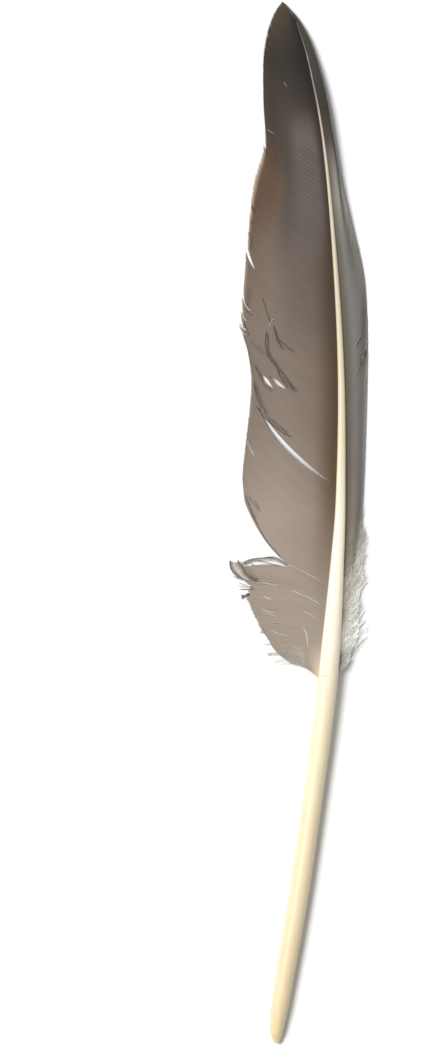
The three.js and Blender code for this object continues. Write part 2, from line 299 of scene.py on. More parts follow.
# %% Wire and Bench
class Wire:
    """One output socket. Arithmetic on it adds Math nodes to its tree."""

    def __init__(self, bench, socket):
        self.bench, self.socket = bench, socket

    def math(self, operation, *others):
        """A Math node on this number and, where it takes more, on the others."""
        return self.bench.math(operation, self, *others)

    def __add__(self, other):
        return self.math("ADD", other)

    def __radd__(self, other):
        return self.bench.math("ADD", other, self)

    def __sub__(self, other):
        return self.math("SUBTRACT", other)

    def __rsub__(self, other):
        return self.bench.math("SUBTRACT", other, self)

    def __mul__(self, other):
        return self.math("MULTIPLY", other)

    def __rmul__(self, other):
        return self.bench.math("MULTIPLY", other, self)

    def __truediv__(self, other):
        return self.math("DIVIDE", other)

    def __rtruediv__(self, other):
        return self.bench.math("DIVIDE", other, self)

    def __pow__(self, other):
        return self.math("POWER", other)

    def __rpow__(self, other):
        return self.bench.math("POWER", other, self)

    def held(self, low, high):
        """The same number, never below low or above high."""
        return self.math("MAXIMUM", low).math("MINIMUM", high)

    def smooth(self, low, high):
        """0 at low, 1 at high, and an S-shaped rise between them."""
        sockets = {"Value": self, "From Min": low, "From Max": high}
        settings = {"interpolation_type": "SMOOTHSTEP"}
        return self.bench.node("ShaderNodeMapRange", settings, sockets)["Result"]


def socket_of(sockets, key):
    """The socket with this name or number, among those that the node shows."""
    shown = [socket for socket in sockets if socket.enabled]
    return shown[key] if isinstance(key, int) else next(s for s in shown if s.name == key)


class Outputs:
    """A node's outputs, by name or number, as wires."""

    def __init__(self, bench, node):
        self.bench, self.node = bench, node

    def __getitem__(self, key):
        return Wire(self.bench, socket_of(self.node.outputs, key))


def set_stops(elements, stops):
    """Gives a colour ramp its stops of (place, colour), the first at 0 and the last at 1."""
    for place, colour in stops[1:-1]:
        elements.new(place).color = colour
    elements[0].color, elements[-1].color = stops[0][1], stops[-1][1]


class Bench:
    """A node tree to build on."""

    def __init__(self, tree):
        self.tree = tree

    def node(self, kind, settings=None, sockets=None):
        """Adds a node: first its settings, then its sockets, by name or number."""
        node = self.tree.nodes.new(kind)
        for name, value in (settings or {}).items():
            if name == "stops":
                set_stops(node.color_ramp.elements, value)
            else:
                setattr(node, name, value)
        found = [(socket_of(node.inputs, key), value) for key, value in (sockets or {}).items()]
        for socket, value in found:
            self.plug(socket, value)
        return Outputs(self, node)

    def step(self, kind, **sockets):
        """A geometry node's first output. A _ stands for a space in a socket's name."""
        sockets = {name.replace("_", " "): value for name, value in sockets.items()}
        return self.node("GeometryNode" + kind, None, sockets)[0]

    def math(self, operation, *values):
        """A Math node on these numbers, in the order of its sockets."""
        return self.node("ShaderNodeMath", {"operation": operation}, dict(enumerate(values)))[0]

    def vector(self, operation, *values):
        """A Vector Math node on these vectors or numbers, in the order of its sockets."""
        settings = {"operation": operation}
        return self.node("ShaderNodeVectorMath", settings, dict(enumerate(values)))[0]

    def join_xyz(self, x=0.0, y=0.0, z=0.0):
        """A vector of three numbers."""
        return self.node("ShaderNodeCombineXYZ", None, {"X": x, "Y": y, "Z": z})[0]

    def split_xyz(self, vector):
        """The X, Y and Z of a vector, by name."""
        return self.node("ShaderNodeSeparateXYZ", None, {0: vector})

    def plug(self, socket, value):
        """Links a wire, or a list of them, to a socket, or sets it to a plain value."""
        for one in value if isinstance(value, list) else [value]:
            if isinstance(one, Wire):
                self.tree.links.new(one.socket, socket)
            else:
                socket.default_value = one


print("node helpers ready")

# %% [markdown]
# ## How a barb finds its place
#
# A guide barb is a Bezier curve, so four points give it. The guides of a lobe become the
# vertices of a small mesh, four to a guide, and that mesh is what the tree reads. Barb number n
# falls between two guides and takes a blend of both. This keeps every barb in step with its
# neighbours, which is just what the hooks of a real vane do. A barb leaves the side of the shaft
# a little above its middle, and each lobe has its own way down from there to the table.

# %% Guides as a mesh of control points
GUIDES_PER_LOBE = 48
HANDLE = {"root": 0.45, "tip": 0.32}
ROOT = {"inset": 0.36, "rise": 0.12}  # shares of the shaft's width and depth
TIP_CLEARANCE = 0.15
FALL = {  # how far each control point has come down from the root's height to the tip's
    "blade": (0.0, 0.42, 0.92, 1.0),
    "ragged": (0.0, 0.42, 0.92, 1.0),
    "leading": (0.0, 0.3, 0.82, 1.0),
    "tuft": (0.0, 0.5, 0.96, 1.0),
    "wisps": (0.0, 0.5, 0.92, 1.0),
}
WIDE_SIDE, NARROW_SIDE = -1, 1


def guide_points(name, side):
    """Control points of a lobe's guides, shaped (guides, 4, 3), in millimetres."""
    rows = LOBES[name]
    ends = sorted((rows[0][0], rows[-1][0]))
    rows = through(rows, np.linspace(*ends, GUIDES_PER_LOBE))
    root_y, tip_x, tip_y, leave, arrive, tip_z = rows.T
    _, x, z, width, depth = through(SHAFT, root_y).T
    root = np.stack([x + side * width * ROOT["inset"], root_y], 1)
    tip = np.stack([tip_x, tip_y], 1)
    reach = np.linalg.norm(tip - root, axis=1)[:, None]

    def heading(degrees):
        turn = np.radians(degrees)
        return np.stack([side * np.sin(turn), np.cos(turn)], 1)

    plan = [
        root,
        root + heading(leave) * HANDLE["root"] * reach,
        tip - heading(arrive) * HANDLE["tip"] * reach,
        tip,
    ]
    root_z = z + ROOT["rise"] * depth
    heights = [root_z + (tip_z + TIP_CLEARANCE - root_z) * fall for fall in FALL[name]]
    return np.stack([np.column_stack([p, h]) for p, h in zip(plan, heights)], 1)


def guide_object(name, side):
    """An object whose vertices are the control points of a lobe's guides."""
    return put_in_scene(name, new_mesh(name, guide_points(name, side).reshape(-1, 3)))


LAST_PLACE = GUIDES_PER_LOBE - 1.001  # just short of the last guide
print("guide mesh:", GUIDES_PER_LOBE, "guides of 4 points")

# %% [markdown]
# ## The barb tree
#
# The tree makes one straight line for each barb, bends each line along its guides, and sweeps a
# thin flat section along it. Five things make the rows look grown and not drawn: each barb is
# as wide as the gap to the next needs, so the vane stays closed where it fans out; it leans a
# little, so that its edge slips under its neighbour; near the margin the barbs gather into
# locks; their tips end unevenly; and a parting pushes the barbs beside it away, where the hooks
# have let go. The strips keep flat faces, because smooth shading would round a barb's flat top.
# Inside a tree lengths are in metres, but a station along the shaft stays in millimetres.

# %% Parts of the tree: sampling a guide, a Bezier point, a parting
def guide_point(bench, guides, place, corner):
    """Control point number `corner` of the guide at the fractional index `place`."""
    low = place.math("FLOOR")
    settings = {"data_type": "FLOAT_VECTOR", "domain": "POINT", "clamp": True}
    samples = []
    for index in (low * 4 + corner, low * 4 + (corner + 4)):
        sockets = {"Geometry": guides, "Value": bench.step("InputPosition"), "Index": index}
        samples.append(bench.node("GeometryNodeSampleIndex", settings, sockets)[0])
    return blend_points(bench, *samples, place - low)


def blend_points(bench, a, b, share):
    """The point that is `share` of the way from a to b."""
    settings = {"data_type": "VECTOR", "clamp_factor": False}
    return bench.node("ShaderNodeMix", settings, {"Factor": share, "A": a, "B": b})["Result"]


def bezier(bench, points, t):
    """The point at t on a Bezier curve, and the direction there, by halving corners."""
    while len(points) > 2:
        points = [blend_points(bench, a, b, t) for a, b in zip(points, points[1:])]
    return blend_points(bench, *points, t), bench.vector("SUBTRACT", points[1], points[0])


def on_guides(bench, guides, place, t):
    """The point at t on the guide at the fractional index `place`, and the direction there."""
    return bezier(bench, [guide_point(bench, guides, place, corner) for corner in range(4)], t)


def parting_push(bench, station, along, parting):
    """How far one parting pushes a point of the vane up the feather, in metres."""
    at, start, stop, gape, reach, turn = parting
    inside = ((along - start) / (stop - start)).held(0, 1) * math.radians(turn)
    beyond = station - at
    fade = math.e ** (beyond.math("ABSOLUTE") * (-1 / reach))
    return beyond.math("SIGN") * inside.math("SINE") * fade * (0.5 * gape * MM)


def named(bench, name):
    """A number that the geometry carries under this name."""
    return bench.node("GeometryNodeInputNamedAttribute", {"data_type": "FLOAT"}, {"Name": name})[0]


def keep(bench, geometry, name, value):
    """The geometry, carrying the number under this name on its points."""
    settings = {"data_type": "FLOAT", "domain": "POINT"}
    sockets = {"Geometry": geometry, "Name": name, "Value": value}
    return bench.node("GeometryNodeStoreNamedAttribute", settings, sockets)[0]


def chance(bench, number, seed):
    """A fixed random number from 0 to 1 for each whole number."""
    sockets = {"Min": 0.0, "Max": 1.0, "ID": number, "Seed": seed}
    return bench.node("FunctionNodeRandomValue", {"data_type": "FLOAT"}, sockets)[0]


print("tree parts ready")

# %% The whole barb tree
BARB_INPUTS = {
    "Barbs": 100,
    "Steps": 22,
    "First strip": 0,
    "Root first": 0.0,
    "Root last": 1.0,
    "Side": -1.0,
    "Overlap": 1.35,
    "Flatness": 0.14,
    "Lean": 0.06,
    "Lock size": 7.0,
    "Gathering": 0.05,
    "Uneven tips": 0.012,
    "Lift": 0.0002,
    "Seed": 3,
    "Finish": None,
}
SECTION_SIDES = 6
SECTION_RADIUS = 0.577  # of a hexagon that is one unit wide from flat to flat


SOCKET_KINDS = {
    int: "NodeSocketInt",
    float: "NodeSocketFloat",
    type(None): "NodeSocketMaterial",  # a finish is given later
}


def new_tree(name, inputs):
    """An empty geometry tree with these named inputs, as a bench and its group input."""
    tree = bpy.data.node_groups.new(name, "GeometryNodeTree")
    tree.interface.new_socket("Geometry", in_out="INPUT", socket_type="NodeSocketGeometry")
    for title, default in inputs.items():
        kind = SOCKET_KINDS[type(default)]
        socket = tree.interface.new_socket(title, in_out="INPUT", socket_type=kind)
        if default is not None:
            socket.default_value = default
    tree.interface.new_socket("Geometry", in_out="OUTPUT", socket_type="NodeSocketGeometry")
    bench = Bench(tree)
    return bench, bench.node("NodeGroupInput")


def flat_section(bench, flatness):
    """A closed hexagon one unit wide, with its ridge up, that carries its way round."""
    ring = bench.step("CurvePrimitiveCircle", Resolution=SECTION_SIDES, Radius=SECTION_RADIUS)
    ring = bench.step("Transform", Geometry=ring, Rotation=(0, 0, math.radians(30)))
    size = bench.join_xyz(1.0, flatness, 1.0)
    ring = bench.step("Transform", Geometry=ring, Scale=size)
    return keep(bench, ring, "around", bench.step("InputIndex") / SECTION_SIDES)


def lying_flat(bench, curves):
    """The same curves, set so that a section swept along them keeps its ridge up."""
    return bench.node("GeometryNodeSetCurveNormal", {"mode": "Z_UP"}, {"Curve": curves})[0]


def swept(bench, curves, section, size):
    """A closed mesh: the section, scaled to size, swept along each curve."""
    sockets = {"Profile_Curve": section, "Scale": size, "Fill_Caps": True}
    return bench.step("CurveToMesh", Curve=curves, **sockets)


def copies_of(bench, lines, count, name, apart=0.0):
    """Real copies of some lines, carrying their number under this name and the way along."""
    places = bench.step("MeshLine", Count=count, Offset=(0, 0, apart))
    places = keep(bench, places, name, bench.step("InputIndex") + 0.0)
    lines = bench.step("InstanceOnPoints", Points=places, Instance=lines)
    lines = bench.step("RealizeInstances", Geometry=lines)
    return keep(bench, lines, "along", bench.step("SplineParameter"))


def finish_tree(bench, mesh, finish, smooth=True):
    """Ends a tree: round or flat-faced, real geometry and the finish."""
    mesh = bench.step("SetShadeSmooth", Geometry=mesh, Shade_Smooth=smooth)
    mesh = bench.step("RealizeInstances", Geometry=mesh)
    mesh = bench.step("SetMaterial", Geometry=mesh, Material=finish)
    bench.node("NodeGroupOutput", None, {"Geometry": mesh})


def barb_lines(bench, given):
    """One straight line for each barb, carrying its number and the way along it."""
    line = bench.step("CurvePrimitiveLine")
    line = bench.step("ResampleCurve", Curve=line, Count=given["Steps"])
    # They stand a metre apart only until the tree bends each one into its own place.
    return copies_of(bench, line, given["Barbs"], "barb", apart=1.0)


LOCK_SHIFT = 7.31  # how far each new seed moves the locks along the row
UNEVEN = {"barb": 0.4, "lock": 0.6}  # how much is each barb's own, and how much its lock's
TIP_TAPER = {"share": 0.6, "from": 0.93}


def gathered(bench, given, barb, how_much):
    """The number of a barb, drawn towards the middle of its lock."""
    shift = given["Seed"] * LOCK_SHIFT
    cells = bench.node(
        "ShaderNodeTexVoronoi",
        {"voronoi_dimensions": "1D", "feature": "F1"},
        {"W": barb / given["Lock size"] + shift, "Scale": 1.0, "Randomness": 0.9},
    )
    middle = (cells["W"] - shift) * given["Lock size"]
    return barb + (middle - barb) * (given["Gathering"] * how_much)


def barb_tree(name, partings=()):
    """The tree that grows a lobe of barbs on its guides."""
    bench, given = new_tree(name, BARB_INPUTS)
    guides, last = given["Geometry"], given["Barbs"] - 1
    lines = barb_lines(bench, given)
    barb, along = named(bench, "barb"), named(bench, "along")

    # Locks: each barb leans to the middle of its lock, more and more towards the margin.
    scale = (GUIDES_PER_LOBE - 1) / last
    place = (gathered(bench, given, barb, along**8) * scale).held(0, LAST_PLACE)
    below = (place - scale / 2).held(0, LAST_PLACE - scale)

    lock = barb / given["Lock size"]
    uneven = chance(bench, barb, given["Seed"]) * UNEVEN["barb"]
    uneven = uneven + chance(bench, lock, given["Seed"] + 1) * UNEVEN["lock"]
    t = along * (1 - given["Uneven tips"] * uneven)
    here, run = on_guides(bench, guides, place, t)
    low, _ = on_guides(bench, guides, below, t)
    high, _ = on_guides(bench, guides, below + scale, t)
    run = bench.vector("NORMALIZE", run)
    gap = bench.vector("CROSS_PRODUCT", bench.vector("SUBTRACT", high, low), run)
    gap = bench.vector("LENGTH", gap)
    station = given["Root first"] + (given["Root last"] - given["Root first"]) * (barb / last)

    lines = keep(bench, lines, "spread", gap)
    lines = keep(bench, lines, "station", station)
    lines = keep(bench, lines, "hue", chance(bench, barb, given["Seed"] + 2))
    lines = keep(bench, lines, "strip", barb + given["First strip"])

    up = bench.vector("NORMALIZE", bench.vector("CROSS_PRODUCT", (0, 0, 1), run))
    push = given["Side"] * 0.0
    for parting in partings:
        push = push + parting_push(bench, station, along, parting) * given["Side"]
    lift = given["Lift"] * (chance(bench, barb, given["Seed"] + 3) - 0.5) * along**2
    spot = bench.vector("ADD", here, bench.vector("SCALE", up, push))
    spot = bench.vector("ADD", spot, bench.join_xyz(z=lift))
    lines = bench.step("SetPosition", Geometry=lines, Position=spot)

    lines = bench.step("SetCurveTilt", Curve=lying_flat(bench, lines), Tilt=given["Lean"])
    taper = 1 - TIP_TAPER["share"] * along.smooth(TIP_TAPER["from"], 1.0)
    width = named(bench, "spread") * given["Overlap"] * taper
    barbs = swept(bench, lines, flat_section(bench, given["Flatness"]), width)
    finish_tree(bench, barbs, given["Finish"], smooth=False)
    return bench.tree


print("barb tree inputs:", list(BARB_INPUTS))

# %% Growing a piece: set the inputs, evaluate, keep the plain mesh
def grow(source, tree, **sizes):
    """Runs a tree on an object with these inputs, and gives back the plain mesh it makes."""
    modifier = source.modifiers.new("grow", "NODES")
    modifier.node_group = tree
    identifiers = {
        item.name.lower().replace(" ", "_"): item.identifier
        for item in tree.interface.items_tree
        if item.in_out == "INPUT"
    }
    for name, value in sizes.items():
        modifier[identifiers[name]] = value
    evaluated = source.evaluated_get(bpy.context.evaluated_depsgraph_get())
    made = bpy.data.meshes.new_from_object(evaluated)
    source.modifiers.remove(modifier)
    bpy.data.objects.remove(source)
    return made


def one_piece(name, meshes):
    """Joins plain meshes into one object at the origin."""
    made = [put_in_scene(name, mesh) for mesh in meshes]
    whole = made[0]
    if len(made) > 1:
        chosen = {"selected_objects": made, "selected_editable_objects": made}
        with bpy.context.temp_override(active_object=whole, object=whole, **chosen):
            bpy.ops.object.join()
    whole.name = name
    whole.data.name = name
    return whole


def triangles(mesh):
    """How many triangles the faces of a mesh come to."""
    return sum(len(face.vertices) - 2 for face in mesh.polygons)


STRIP_MARGIN, END_MARGIN = 0.04, 0.01


def lay_out_strips(mesh):
    """A UV map that lays the swept strips side by side, for any picture painted on them."""
    count = len(mesh.vertices)
    strip, along, around = (np.empty(count, dtype=np.float32) for _ in range(3))
    for name, values in (("strip", strip), ("along", along), ("around", around)):
        mesh.attributes[name].data.foreach_get("value", values)
    corner = np.empty(len(mesh.loops), dtype=int)
    mesh.loops.foreach_get("vertex_index", corner)
    face = np.repeat(np.arange(len(mesh.polygons)), [p.loop_total for p in mesh.polygons])
    turn = around[corner]
    highest = np.zeros(len(mesh.polygons))
    np.maximum.at(highest, face, turn)
    # The faces that close a section run from its last corner back to 0, which counts as 1 here.
    wraps = (highest[face] > 0.6) & (turn < 0.3)
    u = strip[corner] + STRIP_MARGIN + (1 - 2 * STRIP_MARGIN) * (turn + wraps)
    v = END_MARGIN + (1 - 2 * END_MARGIN) * along[corner]
    places = np.column_stack([u / (strip.max() + 1), v]).astype(np.float32)
    mesh.uv_layers.new(name="OFBake").uv.foreach_set("vector", places.ravel())


print("growing tools ready")

# %% [markdown]
# ## The two vanes
#
# The wide vane has two lobes, the blade and a ragged one at its foot, and the narrow vane has one.
# Between the lobes some barbs are missing. A parting inside a lobe is a short list: the station
# of the shaft where its barbs grow, where along the barbs it starts and ends, how far it gapes,
# how far up and down the vane it is felt, and how it ends: closed again (180), wide open at the
# margin (90) or something between.

# %% Grow the vanes
BLADE_PARTINGS = [
    (11.2, 0.0, 0.83, 1.9, 5.0, 180),
    (28.0, 0.54, 0.70, 1.9, 1.6, 180),
    (31.9, 0.41, 0.58, 1.9, 1.6, 180),
    (38.6, 0.91, 1.0, 0.8, 1.2, 90),
    (42.6, 0.92, 1.0, 0.7, 1.2, 90),
    (46.6, 0.93, 1.0, 0.7, 1.2, 90),
    (61.0, 0.78, 1.0, 1.2, 2.5, 140),
    (69.0, 0.94, 1.0, 0.4, 1.0, 90),
    (75.5, 0.94, 1.0, 0.4, 1.0, 90),
    (81.0, 0.95, 1.0, 0.3, 1.0, 90),
    (100.4, 0.92, 1.0, 0.9, 2.0, 130),
]
RAGGED_PARTINGS = [
    (-31.6, 0.56, 0.74, 0.4, 1.2, 180),
    (-36.2, 0.54, 0.80, 0.4, 1.2, 180),
]
LEADING_PARTINGS = [(40.4, 0.30, 0.92, 0.2, 1.5, 180)]
WIDE_FINISH = bpy.data.materials.new("wide_vane")
NARROW_FINISH = bpy.data.materials.new("narrow_vane")


def lobe(name, side, pitch, partings=(), first=0, **sizes):
    """One lobe of a vane as a plain mesh, with a barb every `pitch` along the shaft."""
    rows = LOBES[name]
    low, high = sorted((rows[0][0], rows[-1][0]))
    barbs = round((high - low) / pitch)
    source = guide_object(name, side)
    span = {"root_first": low, "root_last": high, "side": float(side)}
    mesh = grow(source, barb_tree(name, partings), barbs=barbs, first_strip=first, **span, **sizes)
    print(name, barbs, "barbs,", triangles(mesh), "triangles")
    return mesh, barbs


blade, blade_barbs = lobe(
    "blade", WIDE_SIDE, 0.74, BLADE_PARTINGS,
    steps=24, seed=3, finish=WIDE_FINISH,
)
ragged, _ = lobe(
    "ragged", WIDE_SIDE, 0.54, RAGGED_PARTINGS, first=blade_barbs,
    steps=22, seed=5, finish=WIDE_FINISH,
    lock_size=5.0, gathering=0.03, uneven_tips=0.04, lift=0.0001,
)
leading, _ = lobe(
    "leading", NARROW_SIDE, 0.56, LEADING_PARTINGS,
    steps=16, seed=7, finish=NARROW_FINISH,
    lean=-0.06, gathering=0.03, uneven_tips=0.01,
)
wide_vane = one_piece("wide_vane", [blade, ragged])
narrow_vane = one_piece("narrow_vane", [leading])
for vane in (wide_vane, narrow_vane):
    lay_out_strips(vane.data)

# %% [markdown]
# ## Down
#
# A downy barb is a limp thread with many long barbules, and no hooks to hold them. A real tuft
# has far more of them than is wise to model. So it is made in two layers: a pale sheet of soft
# strips from the barb tree, gathered into uneven locks, and over it a few dozen loose threads
# with hairs set all along them, to both sides. The hairs have three sides and four steps,
# because there are thousands of them and none is thicker than a spider's thread. The short
# wisps at the foot of the ragged lobe are threads of the same kind, with hairs at their ends.

# %% The down tree
DOWN_INPUTS = {
    "Barbs": 50,
    "Steps": 16,
    "Bare share": 0.1,
    "Hair spacing": 0.0005,
    "Hair length": 0.005,
    "Hair radius": 0.00005,
    "Stem radius": 0.00007,
    "Gathering": 0.5,
    "Lock size": 6.0,
    "Waviness": 0.0015,
    "Uneven tips": 0.3,
    "Rise": 0.0004,
    "Seed": 11,
    "Finish": None,
}
FLOOR_GAP = 0.00005
WAVES_PER_METRE = {"stem": 160.0, "hair": 500.0, "stray": 260.0}
HAIR_WAVE = 0.0016
SEED_STEP = 1.7  # how far each new seed moves the noise
TAPER = {"stem": 0.6, "hair": 0.7}  # the share of its radius that a rod loses by its tip
HAIR = {"scatter": 2.2, "shortest": 0.5, "range": 0.9, "shorter_at_tip": 0.55}
HAIR_BEND = {"Start": (0, 0, 0), "Middle": (0.22, 0, 0.4), "End": (0.3, 0, 1.0)}


def wavy(bench, scale, size, seed, how_much):
    """A smooth random shift of every point, up to half of size each way."""
    sockets = {"W": seed * SEED_STEP, "Scale": scale, "Detail": 1.0}
    noise = bench.node("ShaderNodeTexNoise", {"noise_dimensions": "4D"}, sockets)["Color"]
    shift = bench.vector("SUBTRACT", noise, (0.5, 0.5, 0.5))
    return bench.vector("SCALE", shift, how_much * size)


def rod(bench, curves, sides, radius):
    """A thin round rod along each curve."""
    ring = bench.step("CurvePrimitiveCircle", Resolution=sides, Radius=1.0)
    return swept(bench, curves, ring, radius)


def down_tree():
    """The tree that grows loose barbs with hairs on their guides."""
    bench, given = new_tree("down", DOWN_INPUTS)
    stems = barb_lines(bench, given)
    barb, along = named(bench, "barb"), named(bench, "along")
    place = gathered(bench, given, barb, along**2) * (LAST_PLACE / (given["Barbs"] - 1))
    t = along * (1 - given["Uneven tips"] * chance(bench, barb, given["Seed"]))
    spot, _ = on_guides(bench, given["Geometry"], place.held(0, LAST_PLACE), t)
    stems = bench.step("SetPosition", Geometry=stems, Position=spot)
    shift = wavy(bench, WAVES_PER_METRE["stem"], given["Waviness"], given["Seed"], along * 2)
    stems = lying_flat(bench, bench.step("SetPosition", Geometry=stems, Offset=shift))

    hair = bench.step("CurveQuadraticBezier", Resolution=4, **HAIR_BEND)
    sockets = {"Curve": stems, "Length": given["Hair spacing"]}
    roots = bench.node("GeometryNodeCurveToPoints", {"mode": "LENGTH"}, sockets)
    number = bench.step("InputIndex") + 0.0
    # Each hair leaves to one side or the other, and up to half the scatter off it either way.
    side = chance(bench, number, given["Seed"] + 1).math("ROUND")
    off = (chance(bench, number, given["Seed"] + 2) - 0.5) * HAIR["scatter"]
    sockets = {"Axis": (0, 0, 1), "Angle": side * math.pi + off}
    turn = bench.node("FunctionNodeAxisAngleToRotation", None, sockets)[0]
    sockets = {"Rotation": roots["Rotation"], "Rotate By": turn}
    turn = bench.node("FunctionNodeRotateRotation", {"rotation_space": "LOCAL"}, sockets)[0]
    size = HAIR["shortest"] + HAIR["range"] * chance(bench, number, given["Seed"] + 3)
    hairs = bench.step(
        "InstanceOnPoints",
        Points=keep(bench, roots["Points"], "number", number),
        Selection=along.math("GREATER_THAN", given["Bare share"]),
        Instance=hair,
        Rotation=turn,
        Scale=given["Hair length"] * size * (1 - HAIR["shorter_at_tip"] * along),
    )
    hairs = bench.step("RealizeInstances", Geometry=hairs)
    hairs = keep(bench, hairs, "hair", bench.step("SplineParameter"))
    way = named(bench, "hair")
    hairs = keep(bench, hairs, "hue", chance(bench, named(bench, "number"), given["Seed"] + 4))
    shift = wavy(bench, WAVES_PER_METRE["hair"], HAIR_WAVE, given["Seed"] + 1, way)
    shift = bench.vector("ADD", shift, bench.join_xyz(z=given["Rise"]))
    hairs = bench.step("SetPosition", Geometry=hairs, Offset=shift)

    rods = [
        rod(bench, stems, 4, given["Stem radius"] * (1 - TAPER["stem"] * along)),
        rod(bench, hairs, 3, given["Hair radius"] * (1 - TAPER["hair"] * way)),
    ]
    mesh = bench.step("JoinGeometry", Geometry=rods)
    # Nothing may sink into the table.
    place = bench.split_xyz(bench.step("InputPosition"))
    place = bench.join_xyz(place["X"], place["Y"], place["Z"].math("MAXIMUM", FLOOR_GAP))
    mesh = bench.step("SetPosition", Geometry=mesh, Position=place)
    finish_tree(bench, mesh, given["Finish"])
    return bench.tree


DOWN_FINISH = bpy.data.materials.new("down")
down_growth = down_tree()
under, _ = lobe(
    "tuft", NARROW_SIDE, 0.5,
    steps=16, seed=10, finish=DOWN_FINISH, flatness=0.14, lean=-0.06,
    lock_size=5.0, gathering=0.35, uneven_tips=0.16, lift=0.0004,
)
over = grow(
    guide_object("tuft", NARROW_SIDE), down_growth,
    barbs=64, seed=11, finish=DOWN_FINISH,
)
wisps = grow(
    guide_object("wisps", WIDE_SIDE), down_growth,
    barbs=22, seed=13, finish=DOWN_FINISH, bare_share=0.8, hair_length=0.002, rise=-0.0002,
)
down = one_piece("down", [under, over, wisps])
print("down:", triangles(down.data), "triangles")

# %% [markdown]
# ## Stray barbs and shadow lines
#
# Handling and weather have pulled a few barbs out of their row. They lie over the vane as dark
# lines, bridge the bay under the blade and stick out past the ragged lobe. Where several were
# pulled out together they lie side by side, and a few make a curled flap or a wisp of the tuft.
# The darkest of them also stand in for shade: they draw painted shadow lines where locks of
# barbs fold over each other, and the shaded underside of the curled flap. Each one is drawn as a
# few points in plan, and its height comes from the vane underneath.

# %% Where the strays lie
# A tone runs from 0, dark, to 1, white. Points and widths are in millimetres.
def stray(tone, width, *points):
    """One stray on its own, as a bundle of one."""
    return 1, tone, tone, width, points, points


def bundle(count, tones, width, edge_a, edge_b):
    """Strays side by side between two edge ones, blending from one edge's tone to the other's."""
    return count, *tones, width, edge_a, edge_b


